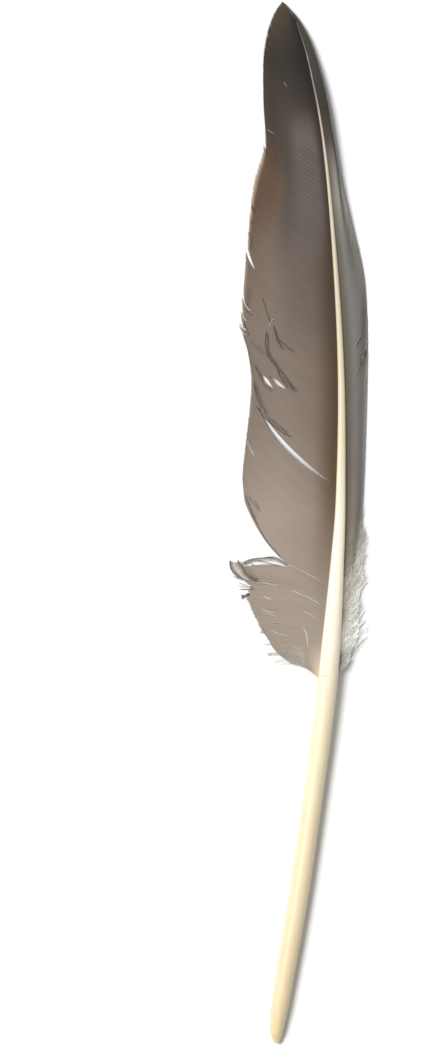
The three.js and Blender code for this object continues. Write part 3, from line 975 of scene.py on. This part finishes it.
STRAYS_AND_SHADOW_LINES = [
    # The dark strays over the blade draw painted shadow lines along the edges of locks that lie
    # over each other.
    stray(0.30, 0.28, (-12.0, 71.7), (-10.7, 67.5), (-9.4, 63.7)),
    bundle(2, (0.22, 0.30), 0.26,
           [(-10.7, 61.4), (-10.8, 55.7), (-9.1, 51.5), (-5.5, 47.2), (-0.8, 41.6)],
           [(-10.1, 60.0), (-9.9, 55.2), (-8.0, 50.8), (-4.6, 46.4), (-2.2, 42.2)]),
    stray(0.20, 0.30, (-8.4, 63.0), (-7.2, 58.2), (-5.3, 55.0)),
    stray(0.26, 0.26, (-6.8, 58.6), (-4.2, 55.8), (-1.8, 54.3)),
    stray(0.62, 0.24, (-9.6, 62.4), (-9.0, 64.2), (-8.2, 64.8)),
    stray(0.26, 0.30, (-7.6, 50.9), (-6.7, 47.2), (-3.7, 42.9)),
    bundle(2, (0.34, 0.38), 0.20,
           [(-15.8, 58.2), (-13.6, 55.4), (-11.7, 54.0)],
           [(-13.6, 56.9), (-11.8, 54.6), (-10.0, 52.6)]),
    stray(0.30, 0.26, (-14.0, 49.6), (-11.6, 44.2), (-8.8, 41.7)),
    bundle(2, (0.30, 0.34), 0.24,
           [(-14.6, 45.2), (-13.8, 40.4), (-12.2, 36.4)],
           [(-13.8, 43.6), (-12.6, 39.0), (-10.8, 34.4)]),
    stray(0.24, 0.24, (-14.0, 37.1), (-9.8, 31.9), (-4.3, 27.9), (-2.6, 27.3)),
    stray(0.28, 0.22, (-9.2, 33.0), (-6.4, 30.6), (-4.0, 28.6)),
    bundle(2, (0.62, 0.62), 0.24,
           [(-17.2, 27.0), (-15.9, 23.6), (-14.5, 20.8)],
           [(-16.6, 26.6), (-15.4, 23.4), (-14.2, 21.2)]),
    stray(0.44, 0.16, (-5.0, 140.5), (-4.5, 139.6), (-4.1, 138.8)),
    stray(0.48, 0.18, (-10.3, 125.6), (-9.2, 124.6), (-8.0, 124.0)),
    stray(0.14, 0.22, (-11.0, 119.8), (-9.4, 118.4), (-7.8, 117.4)),
    stray(0.30, 0.20, (-15.4, 101.2), (-15.1, 99.8), (-14.6, 98.6)),
    stray(0.30, 0.20, (-15.6, 96.4), (-15.3, 95.4), (-14.6, 94.9)),
    stray(0.30, 0.22, (-16.2, 92.7), (-15.5, 90.6), (-15.9, 87.4)),
    stray(0.80, 0.20, (-17.8, 70.4), (-16.8, 68.6), (-15.6, 67.4)),
    stray(0.76, 0.20, (-18.4, 67.4), (-17.8, 65.4), (-16.8, 64.2)),
    bundle(2, (0.84, 0.72), 0.20,
           [(-19.5, 63.4), (-18.2, 62.2), (-16.6, 61.2)],
           [(-19.5, 63.4), (-18.6, 61.2), (-17.2, 59.6)]),
    stray(0.26, 0.22, (-17.0, 67.6), (-16.0, 66.6), (-15.2, 66.2)),
    stray(0.22, 0.24, (-17.8, 63.8), (-17.0, 61.6), (-16.2, 59.8)),
    # A dark stray along the curled belly rim, partly painted shade.
    stray(0.26, 0.26, (-17.2, 8.2), (-15.8, 4.3), (-14.4, 1.0), (-12.9, -2.0), (-11.1, -5.2),
          (-8.7, -8.4), (-6.0, -11.2)),
    stray(0.36, 0.22, (-16.2, 8.4), (-14.6, 5.8), (-12.9, 3.4)),
    stray(0.40, 0.20, (-14.6, 7.0), (-13.4, 5.0), (-12.4, 3.6)),
    bundle(3, (0.38, 0.48), 0.24,
           [(-4.1, -13.6), (-7.0, -11.6), (-9.3, -11.2), (-11.6, -11.4), (-15.3, -11.9),
            (-18.6, -13.2)],
           [(-3.6, -14.2), (-6.6, -12.4), (-9.2, -11.7), (-11.6, -11.7), (-15.2, -12.2),
            (-19.4, -13.8)]),
    stray(0.42, 0.24, (-6.2, -14.1), (-8.5, -13.6), (-11.9, -12.5), (-13.9, -12.2),
          (-16.2, -12.6), (-18.2, -13.8)),
    stray(0.46, 0.20, (-13.9, -14.3), (-15.0, -13.7), (-16.2, -13.1)),
    bundle(9, (0.34, 0.76), 0.42,
           [(-22.5, -12.3), (-22.2, -14.2), (-21.3, -15.9), (-19.6, -17.3), (-17.4, -18.2)],
           [(-20.6, -12.9), (-20.2, -14.2), (-19.4, -15.8), (-18.4, -17.2), (-16.0, -18.6)]),
    bundle(6, (0.66, 0.34), 0.42,
           [(-20.4, -12.9), (-20.0, -14.0), (-19.2, -15.6), (-18.2, -17.0), (-15.6, -18.6)],
           [(-19.4, -12.0), (-18.9, -13.4), (-18.0, -15.3), (-16.8, -17.0), (-13.6, -18.6)]),
    # The darkest strands of the curled flap draw its painted shaded underside.
    bundle(2, (0.16, 0.22), 0.34,
           [(-19.6, -12.1), (-19.1, -13.6), (-18.4, -15.4), (-17.2, -17.1), (-14.2, -18.8)],
           [(-18.9, -13.8), (-17.8, -15.7), (-16.6, -17.1), (-15.0, -18.0), (-13.4, -18.4)]),
    stray(0.52, 0.22, (-21.4, -17.1), (-19.8, -17.9), (-18.2, -18.2)),
    stray(0.42, 0.14, (-19.5, -19.2), (-17.9, -20.0), (-14.6, -21.1)),
    stray(0.46, 0.13, (-19.7, -20.3), (-18.2, -20.6), (-14.6, -21.2)),
    stray(0.30, 0.22, (-19.4, -21.5), (-17.4, -21.5), (-14.6, -21.6)),
    bundle(4, (0.22, 0.34), 0.24,
           [(-18.8, -23.1), (-17.8, -23.5), (-16.0, -22.6)],
           [(-18.6, -24.6), (-17.7, -23.8), (-16.0, -23.4)]),
    stray(0.66, 0.18, (-3.8, -13.4), (-0.7, -14.9), (3.0, -16.8), (6.7, -18.9)),
    stray(0.74, 0.18, (-12.2, -19.1), (-9.3, -19.9), (-7.0, -20.5)),
    stray(0.76, 0.16, (-2.6, -21.8), (-0.3, -22.8), (3.4, -24.4), (7.0, -26.6)),
    stray(0.74, 0.18, (-11.6, -23.8), (-10.2, -24.3), (-8.8, -24.7)),
    bundle(2, (0.74, 0.70), 0.16,
           [(-12.4, -27.6), (-10.2, -28.6), (-7.6, -29.2)],
           [(-11.8, -28.6), (-9.6, -29.6), (-7.0, -30.4)]),
    stray(0.72, 0.18, (1.2, -28.6), (3.2, -29.4), (5.4, -30.8)),
    stray(0.70, 0.24, (1.0, -33.6), (2.2, -36.0), (2.6, -39.8)),
    stray(0.70, 0.18, (-9.4, -34.8), (-6.8, -35.6), (-3.8, -36.4)),
    bundle(2, (0.84, 0.84), 0.12,
           [(2.0, -54.4), (2.9, -52.4), (4.4, -50.6)],
           [(3.4, -55.6), (4.2, -53.2), (5.4, -51.4)]),
    stray(0.50, 0.16, (15.6, -45.0), (18.0, -41.0), (20.4, -38.0), (22.0, -36.2)),
    bundle(4, (0.80, 0.90), 0.16,
           [(14.2, -12.8), (15.8, -8.9), (18.6, -3.0)],
           [(15.4, -16.2), (16.8, -11.6), (18.6, -7.6)]),
    bundle(5, (0.80, 0.86), 0.16,
           [(15.0, -22.2), (16.0, -17.6), (16.8, -13.6)],
           [(16.6, -24.2), (17.8, -19.6), (18.8, -14.6)]),
    bundle(4, (0.90, 0.96), 0.10,
           [(18.4, -31.2), (19.8, -29.0), (21.0, -27.5)],
           [(18.0, -32.2), (19.4, -30.4), (20.6, -28.3)]),
    bundle(4, (0.90, 0.96), 0.10,
           [(18.6, -33.6), (20.0, -31.8), (21.4, -30.9)],
           [(18.2, -34.6), (19.6, -33.0), (21.0, -31.6)]),
    bundle(5, (0.90, 0.96), 0.10,
           [(18.8, -35.0), (20.4, -33.8), (22.0, -33.4)],
           [(18.4, -36.0), (20.2, -35.2), (22.3, -34.9)]),
    bundle(5, (0.90, 0.96), 0.10,
           [(17.8, -39.6), (19.4, -37.8), (20.9, -36.7)],
           [(17.4, -40.4), (18.8, -38.8), (20.2, -37.6)]),
    bundle(4, (0.90, 0.96), 0.10,
           [(19.6, -21.0), (20.8, -19.4), (22.0, -18.6)],
           [(19.4, -22.2), (20.4, -20.6), (21.4, -19.4)]),
    stray(0.24, 0.18, (18.3, 49.4), (19.9, 52.2), (21.3, 55.2)),
    stray(0.58, 0.16, (17.6, 47.0), (19.0, 50.0), (20.2, 53.1)),
    stray(0.54, 0.16, (17.3, 55.7), (18.6, 58.0), (20.2, 60.5)),
]
STRAY_HEIGHT = 0.3
SAMPLES_PER_GUIDE = 40
print(len(STRAYS_AND_SHADOW_LINES), "bundles,", sum(row[0] for row in STRAYS_AND_SHADOW_LINES), "strays")


# %% Lay them on the vane
def vane_samples():
    """Points all over the vanes, in millimetres, to read heights from."""
    t = np.linspace(0, 1, SAMPLES_PER_GUIDE)[None, :, None]
    weights = [(1 - t) ** 3, 3 * t * (1 - t) ** 2, 3 * t * t * (1 - t), t**3]
    made = []
    for name in LOBES:
        points = guide_points(name, NARROW_SIDE if name in ("leading", "tuft") else WIDE_SIDE)
        made.append(sum(w * points[:, k][:, None] for k, w in enumerate(weights)).reshape(-1, 3))
    return np.concatenate(made)


def on_vane(points, samples):
    """Points in plan, lifted to just above the nearest part of the vane."""
    nearest = [np.argmin(np.hypot(*(samples[:, :2] - point).T)) for point in points]
    return np.column_stack([points, samples[nearest, 2] + STRAY_HEIGHT])


samples = vane_samples()
corners, edges, tones, widths = [], [], [], []
for count, tone_a, tone_b, width, edge_a, edge_b in STRAYS_AND_SHADOW_LINES:
    edge_a, edge_b = np.array(edge_a), np.array(edge_b)
    for share in np.linspace(0, 1, count):
        start = len(corners)
        points = edge_a + (edge_b - edge_a) * share
        corners += on_vane(points, samples).tolist()
        edges += [(k, k + 1) for k in range(start, len(corners) - 1)]
        tones += [tone_a + (tone_b - tone_a) * share] * len(points)
        widths += [width * MM] * len(points)
stray_lines = new_mesh("stray_lines", corners, edges)
for name, values in (("tone", tones), ("width", widths)):
    stray_lines.attributes.new(name, "FLOAT", "POINT").data.foreach_set("value", values)
stray_source = put_in_scene("stray_lines", stray_lines)
print("stray points:", len(corners))

# %% The stray tree
STRAY_INPUTS = {
    "Steps": 14,
    "Threads": 2,
    "Splay": 0.6,
    "Seed": 17,
    "Finish": None,
}
STRAY = {"flatness": 0.45, "wave_in_widths": 3.0, "wave_upwards": 0.3, "blunt": 0.2}


def stray_tree():
    """Sweeps each stray as a few threads that taper and splay towards its ends."""
    bench, given = new_tree("strays", STRAY_INPUTS)
    lines = bench.step("MeshToCurve", Mesh=given["Geometry"])
    settings = {"spline_type": "CATMULL_ROM"}
    lines = bench.node("GeometryNodeCurveSplineType", settings, {"Curve": lines})[0]
    lines = bench.step("ResampleCurve", Curve=lines, Count=given["Steps"])
    lines = copies_of(bench, lines, given["Threads"], "thread")
    along, width, thread = (named(bench, name) for name in ("along", "width", "thread"))
    ends = (along - 0.5).math("ABSOLUTE") * 2
    scale, reach = WAVES_PER_METRE["stray"], width * STRAY["wave_in_widths"]
    shift = wavy(bench, scale, reach, given["Seed"] + thread, given["Splay"] + ends * ends)
    flat = bench.vector("MULTIPLY", shift, (1, 1, STRAY["wave_upwards"]))
    lines = lying_flat(bench, bench.step("SetPosition", Geometry=lines, Offset=flat))
    size = width * ((1 - ends**4) * (1 - STRAY["blunt"]) + STRAY["blunt"])
    mesh = swept(bench, lines, flat_section(bench, STRAY["flatness"]), size)
    finish_tree(bench, mesh, given["Finish"])
    return bench.tree


STRAY_AND_SHADOW_FINISH = bpy.data.materials.new("stray_barbs")
strays = one_piece("stray_barbs", [grow(stray_source, stray_tree(), finish=STRAY_AND_SHADOW_FINISH)])
print("strays:", triangles(strays.data), "triangles")

# %% [markdown]
# ## Finishes
#
# Horn is smooth and a little glossy, cream where it is thick. The vanes get their colour from
# dark pigment in the barbs: nearly black-brown at the tip, taupe in the middle and almost
# white at the foot, and darker again close to the shaft. Pigment follows the feather, so the
# colour is a ramp along Y in Object coordinates, and the shading across comes from each
# barb's own `along`. A picture wrapped on it could never follow hundreds of strips so well.
# Some light and shade is painted in as well: a sheen near the tip, shade at the edges of the
# barbs, in the creases and along the belly rim, the shaft's shadow on the narrow vane and the
# down, and extra light in the thin down.

# %% Helpers for finishes
def light_of(red, green, blue):
    """A colour from 0 to 255, as a painter's table gives it, as the light it reflects."""
    parts = [c / 255 for c in (red, green, blue)]
    light = [c / 12.92 if c <= 0.04045 else ((c + 0.055) / 1.055) ** 2.4 for c in parts]
    return (*light, 1.0)


def finish_bench(material, roughness, gloss=0.5):
    """A bench on a new finish, and its surface node with how rough and glossy it is."""
    material.use_nodes = True
    surface = material.node_tree.nodes["Principled BSDF"]
    surface.inputs["Roughness"].default_value = roughness
    surface.inputs["Specular IOR Level"].default_value = gloss
    return Bench(material.node_tree), surface


def object_spot(bench):
    """X, Y and Z on the object, in metres."""
    return bench.split_xyz(bench.node("ShaderNodeTexCoord")["Object"])


def ramp(bench, value, stops):
    """A colour that changes smoothly through stops of (value, colour)."""
    low, high = stops[0][0], stops[-1][0]
    stops = [((place - low) / (high - low), light_of(*colour)) for place, colour in stops]
    sockets = {"Fac": (value - low) / (high - low)}
    return bench.node("ShaderNodeValToRGB", {"stops": stops}, sockets)["Color"]


def tint(bench, share, a, b, blend="MIX"):
    """Colour a, mixed with colour b by share."""
    settings = {"data_type": "RGBA", "blend_type": blend}
    return bench.node("ShaderNodeMix", settings, {"Factor": share, "A": a, "B": b})["Result"]


def carried(bench, name):
    """A number that the piece carries on its points."""
    return bench.node("ShaderNodeAttribute", {"attribute_name": name})["Fac"]


def between(y, low, rise, fall, high):
    """1 from rise to fall, fading to 0 at low and at high."""
    return y.smooth(low, rise) * (1 - y.smooth(fall, high))


print("finish helpers ready")

# %% The vanes' keratin
WIDE_STOPS = [
    (-45, (153, 140, 125)),
    (3, (159, 144, 130)),
    (13, (149, 134, 121)),
    (30, (134, 119, 107)),
    (52, (125, 110, 98)),
    (65, (112, 98, 87)),
    (90, (99, 85, 73)),
    (112, (80, 68, 57)),
    (132, (62, 52, 43)),
    (148, (39, 32, 23)),
    (166, (62, 51, 37)),
]
NARROW_STOPS = [
    (-19, (190, 184, 172)),
    (0, (158, 149, 136)),
    (15, (146, 139, 131)),
    (75, (141, 138, 132)),
    (88, (138, 134, 127)),
    (103, (160, 156, 148)),
    (112, (138, 132, 124)),
    (122, (75, 67, 58)),
    (132, (47, 40, 32)),
    (166, (66, 62, 51)),
]
# Painted shadow lines, where one lock of barbs lies over the next: both ends in millimetres,
# width, strength.
CREASE_SHADOWS = [
    ((-10.4, 60.0), (-10.0, 53.6), 0.5, 0.26),
    ((-10.0, 53.6), (-1.6, 42.0), 0.6, 0.3),
    ((-5.4, 46.0), (-2.0, 42.2), 1.1, 0.2),
    ((-8.2, 62.0), (-5.4, 55.4), 0.5, 0.26),
    ((-5.8, 57.6), (-1.8, 54.4), 0.4, 0.26),
    ((-14.4, 50.0), (-9.0, 42.0), 0.5, 0.2),
    ((-14.4, 43.6), (-9.6, 32.6), 0.7, 0.2),
    ((-9.6, 32.6), (-3.0, 27.4), 0.4, 0.23),
    ((-17.2, 8.0), (-14.6, 1.6), 1.0, 0.16),
    ((-22.0, -13.0), (-18.6, -16.6), 0.8, 0.26),
    ((-19.0, -13.0), (-14.0, -18.4), 0.9, 0.26),
    ((-16.6, 69.0), (-16.0, 74.0), 0.8, 0.23),
]


def times(bench, colour, level):
    """A colour made lighter or darker by a number."""
    grey = bench.node("ShaderNodeCombineColor", None, {0: level, 1: level, 2: level})[0]
    return tint(bench, 1.0, colour, grey, "MULTIPLY")


def crease(bench, spot, start, end, width):
    """1 on the line from start to end, fading to 0 over `width` millimetres beside it."""
    run_x, run_y = end[0] - start[0], end[1] - start[1]
    from_x, from_y = spot["X"] / MM - start[0], spot["Y"] / MM - start[1]
    share = ((from_x * run_x + from_y * run_y) / (run_x**2 + run_y**2)).held(0, 1)
    off_x, off_y = from_x - share * run_x, from_y - share * run_y
    away = (off_x * off_x + off_y * off_y) / width**2
    return math.e ** (away * -1)


def keratin(material, stops):
    """A finish whose colour follows the ramp, still to be given painted barb shade and streaks."""
    bench, surface = finish_bench(material, 0.55, gloss=0.2)
    spot = object_spot(bench)
    return bench, surface, spot, carried(bench, "along"), ramp(bench, spot["Y"] / MM, stops)


SHADE_AND_STREAK = {"level": 0.9, "middle": 0.35, "uneven": 0.06}


def shaded_and_streaked(bench, colour, contrast, paired=0.0):
    """The colour with painted shade, darkest where a barb dives under the next, and uneven from
    barb to barb.
    """
    hue, around, strip = (carried(bench, name) for name in ("hue", "around", "strip"))
    ridge = (1 - (around * SECTION_SIDES - 1).math("ABSOLUTE")).math("MAXIMUM", 0)
    every_other = (strip + 0.5).math("MODULO", 2).math("GREATER_THAN", 1)
    level = SHADE_AND_STREAK["level"] + (ridge - SHADE_AND_STREAK["middle"]) * contrast
    level = level + (hue - 0.5) * SHADE_AND_STREAK["uneven"]
    return times(bench, colour, level + (every_other - 0.5) * paired)


bench, surface, spot, along, colour = keratin(WIDE_FINISH, WIDE_STOPS)
y = spot["Y"] / MM
brown, cream = light_of(146, 124, 86), light_of(232, 214, 180)
sheen, fawn = light_of(118, 109, 104), light_of(204, 182, 162)
beside_shaft = (1 - along.smooth(0.0, 0.2)) * 0.68 + (1 - along.smooth(0.05, 0.5)) * 0.34
beside_shaft = beside_shaft * y.smooth(-46, 18)
colour = tint(bench, beside_shaft, colour, brown, "MULTIPLY")
# A painted sheen: a purple-grey patch on the inner half of the vane below the tip.
painted_sheen = between(along, 0.0, 0.14, 0.26, 0.5) * between(y, 76, 102, 120, 134)
colour = tint(bench, painted_sheen * 0.7, colour, sheen)
rusty = between(along, 0.4, 0.68, 0.92, 1.0) * between(y, 84, 104, 130, 150)
colour = tint(bench, rusty, colour, light_of(244, 222, 202), "MULTIPLY")
outer = along.smooth(0.34, 0.6) * between(y, 50, 66, 106, 124)
tip_light = (along - 0.5) * y.smooth(128, 148) * 1.8
rim_light = along.smooth(0.65, 0.95) * between(y, 100, 116, 130, 144) * 0.5
colour = times(bench, colour, 1 + outer * 0.24 + tip_light + rim_light)
margin = between(y, 20, 60, 122, 136) * 0.5 + between(y, 84, 100, 116, 126) * 0.3
colour = tint(bench, along.smooth(0.9, 1.0) * margin, colour, fawn)
# Painted shade along the curled margin at the belly of the blade.
belly_rim_shade = along.smooth(0.8, 0.95) * between(y, -15, -12, 0, 8)
colour = times(bench, colour, 1 - belly_rim_shade * 0.45)
foot = (1 - along.smooth(0.0, 0.35)) * (1 - y.smooth(-52, -36))
colour = tint(bench, foot * 0.8, colour, cream)
shade = 1.0
for start, end, width, strength in CREASE_SHADOWS:
    shade = (1 - crease(bench, spot, start, end, width) * strength) * shade
colour = times(bench, colour, shade)
# The painted barb shade is stronger in the sheen, where every other barb also differs in tone.
lined = between(along, 0.04, 0.14, 0.42, 0.62) * between(y, 78, 98, 116, 132)
bench.plug(surface.inputs["Base Color"], shaded_and_streaked(bench, colour, 0.1 + lined * 0.8, lined * 0.12))

bench, surface, spot, along, colour = keratin(NARROW_FINISH, NARROW_STOPS)
y = spot["Y"] / MM
# Darker near the shaft: partly the barbs' own darker bases, partly the painted shadow of the
# shaft.
beside_shaft = (1 - along.smooth(0.02, 0.26)) * between(y, -30, -12, 108, 128)
colour = tint(bench, beside_shaft, colour, light_of(194, 184, 166), "MULTIPLY")
# Paler towards the margin: partly the vane's own paler edge low down, partly painted light on the
# slope that falls away from the lamp.
pale_margin = along.smooth(0.45, 0.95) * (1 - y.smooth(20, 70))
pale_margin = pale_margin + along.smooth(0.6, 1.0) * between(y, 98, 108, 136, 148) * 0.07
colour = tint(bench, pale_margin, colour, light_of(232, 232, 226))
bench.plug(surface.inputs["Base Color"], shaded_and_streaked(bench, colour, 0.12))
print("creases:", len(CREASE_SHADOWS))

# %% Horn, down and strays
HORN_STOPS = [
    (-166, (226, 204, 160)),
    (-150, (230, 212, 174)),
    (-100, (233, 216, 179)),
    (-60, (240, 226, 194)),
    (-38, (247, 238, 216)),
    (-6, (246, 238, 218)),
    (26, (220, 209, 179)),
    (75, (202, 192, 164)),
    (118, (186, 177, 160)),
    (134, (130, 120, 108)),
    (150, (92, 84, 74)),
    (160, (62, 54, 46)),
]
GRAIN = (900.0, 18.0, 900.0)
HORN = bpy.data.materials.new("quill")
shaft_mesh.materials.append(HORN)
bench, surface = finish_bench(HORN, 0.38, gloss=0.45)
place = bench.node("ShaderNodeTexCoord")["Object"]
spot = bench.split_xyz(place)
horn = ramp(bench, spot["Y"] / MM, HORN_STOPS)
# Faint grain that runs the length of the quill, so it is far finer across than along.
grain = bench.node("ShaderNodeMapping", None, {"Vector": place, "Scale": GRAIN})[0]
grain = bench.node("ShaderNodeTexNoise", None, {"Vector": grain, "Scale": 1.0, "Detail": 3.0})[0]
horn = tint(bench, grain.smooth(0.45, 0.75) * 0.3, horn, light_of(214, 190, 146))
scratch = crease(bench, spot, (6.9, -48.8), (8.6, -49.0), 0.25)
horn = times(bench, horn, 1 - scratch * 0.25)
bench.plug(surface.inputs["Base Color"], horn)

DOWN_STOPS = [
    (-60, (190, 186, 168)),
    (-48, (252, 251, 246)),
    (-34, (248, 247, 240)),
    (-22, (232, 228, 219)),
    (-12, (196, 190, 180)),
    (-4, (158, 152, 142)),
]
bench, surface = finish_bench(DOWN_FINISH, 0.8, gloss=0.2)
spot = object_spot(bench)
y, hue, along = spot["Y"] / MM, carried(bench, "hue"), carried(bench, "along")
# Where a barb leaves the shaft, roughly, from how far it has climbed on its way outwards.
CLIMB, SHAFT_X = 1.6, 12.2
root = y - (spot["X"] / MM - SHAFT_X) * CLIMB
fluff = ramp(bench, root, DOWN_STOPS)
# Painted shadow of the shaft on the down near its root, weaker at two heights.
unshaded = between(y, -43, -40, -36, -28) * 0.7 + between(y, -32, -24, -17, -11) * 0.45
shaded = (1 - along.smooth(0.08, 0.4)) * (1 - unshaded)
fluff = tint(bench, shaded, fluff, light_of(170, 158, 138), "MULTIPLY")
# Darker at the foot of the tuft, away from its margin: painted shade beside the thick quill.
foot = 1 - (1 - y.smooth(-46, -34)) * (1 - along.smooth(0.5, 0.9)) * 0.26
# Random tone from barb to barb, all of it lighter than white: painted light that stands in for
# light shining through the thin down.
fluff = times(bench, fluff, (1.0 + hue * 0.4) * foot)
bench.plug(surface.inputs["Base Color"], fluff)

bench, surface = finish_bench(STRAY_AND_SHADOW_FINISH, 0.6)
# The dark end of the tones is partly painted shadow, for the strays that draw shadow lines.
tones = [(0, (48, 38, 32)), (0.3, (96, 82, 72)), (0.6, (166, 154, 142)), (1, (250, 248, 244))]
bench.plug(surface.inputs["Base Color"], ramp(bench, carried(bench, "tone"), tones))
print("finishes:", [m.name for m in (WIDE_FINISH, NARROW_FINISH, HORN, DOWN_FINISH, STRAY_AND_SHADOW_FINISH)])

# %% [markdown]
# ## Putting it on the table
#
# The whole feather is one growth, so every piece rides the same body and stands for the one
# plain node. The table is white. The light comes from the upper left and is soft, so each raised
# edge gets a short blurred shadow. The camera looks straight down, with a long lens that keeps
# the outline true.

# %% Ride and replace
PIECES = {"quill": [shaft], "vane": [wide_vane, narrow_vane, strays], "down": [down]}
for finish, pieces in PIECES.items():
    for piece in pieces:
        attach(piece, "root")
        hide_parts("feather")
print("pieces:", sum(len(pieces) for pieces in PIECES.values()))

# %% Table, light and camera
TABLE_HALF = 3000
square = ((-1, -1), (1, -1), (1, 1), (-1, 1))
corners = [(x * TABLE_HALF, y * TABLE_HALF, -FLOOR_GAP / MM) for x, y in square]
table = put_in_scene("table", new_mesh("table", corners, faces=[(0, 1, 2, 3)]))
white = bpy.data.materials.new("table")
_, surface = finish_bench(white, 0.9, gloss=0.1)
surface.inputs["Base Color"].default_value = (0.9, 0.9, 0.9, 1)
table.data.materials.append(white)

world = bpy.data.worlds.new("studio")
bpy.context.scene.world = world
world.use_nodes = True
sky = world.node_tree.nodes["Background"].inputs
sky["Color"].default_value = (1, 1, 1, 1)
sky["Strength"].default_value = 0.33
KEY_DIRECTION = Vector((0.52, -0.30, -1))
key = bpy.data.lights.new("key", "SUN")
key.energy = 3.28
key.angle = math.radians(26)
lamp = put_in_scene("key", key)
lamp.location = (-0.5, 0.5, 1)
lamp.rotation_mode = "QUATERNION"
lamp.rotation_quaternion = KEY_DIRECTION.to_track_quat("-Z", "Y")

CAMERA_HEIGHT = 1.4
FRAME_LONG_SIDE = 0.33472
camera_data = bpy.data.cameras.new("camera")
camera_data.sensor_width = 36
camera_data.lens = camera_data.sensor_width * CAMERA_HEIGHT / FRAME_LONG_SIDE
camera = put_in_scene("camera", camera_data)
camera.location = (-25.92 * MM, -0.32 * MM, CAMERA_HEIGHT)
bpy.context.scene.camera = camera
bpy.context.scene.view_settings.view_transform = "Standard"
print("lens, mm:", round(camera_data.lens, 1))
